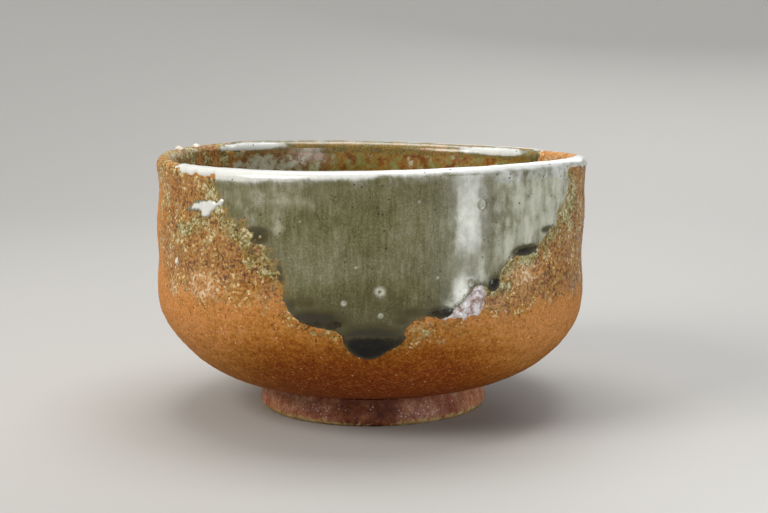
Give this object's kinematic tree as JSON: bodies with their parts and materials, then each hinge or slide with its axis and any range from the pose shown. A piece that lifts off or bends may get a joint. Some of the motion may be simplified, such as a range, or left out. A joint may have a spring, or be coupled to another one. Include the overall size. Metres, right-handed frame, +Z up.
{
  "type": "matcha bowl",
  "caption": "Straight-walled stoneware tea bowl on a low ring foot, glazed inside, over the lip and in a run down the front, for whisking and drinking matcha.",
  "frame": {"origin": "centre of the resting face of the ring foot, on the bowl's axis", "axes": "+Z up along the bowl's axis, out of its mouth; -Y towards the glazed face; +X to the right of that face"},
  "size_m": [0.1253, 0.1264, 0.0747],
  "materials": {
    "stoneware_clay": "bare, coarse, ash-flashed orange",
    "foot_clay": "bare, turned, with a thin glassy flash",
    "ash_glaze": "glossy grey-green, crazed and pinholed",
    "milky_glaze": "glossy opalescent white",
    "inner_ash_glaze": "glossy, mottled olive and amber",
    "pooled_glass": "deep glossy bottle-green glass",
    "ash_crust": "granular, half melted ash",
    "white_curd": "lumpy, half melted, satin",
    "feldspar": "smooth fired pebble"
  },
  "bodies": {
    "root": {"thrown_body": "stoneware_clay", "foot_ring": "foot_clay", "outer_glaze": "ash_glaze", "rim_glaze": "milky_glaze", "inner_glaze": "inner_ash_glaze", "floor_glass_pool": "pooled_glass", "centre_glass_drop": "pooled_glass", "left_glass_drop": "pooled_glass", "right_glass_drops": "pooled_glass", "ash_crust_left": "ash_crust", "ash_crust_right": "ash_crust", "milky_splash": "milky_glaze", "white_ash_curds": "white_curd", "feldspar_stones": "feldspar"}
  },
  "joints": []
}
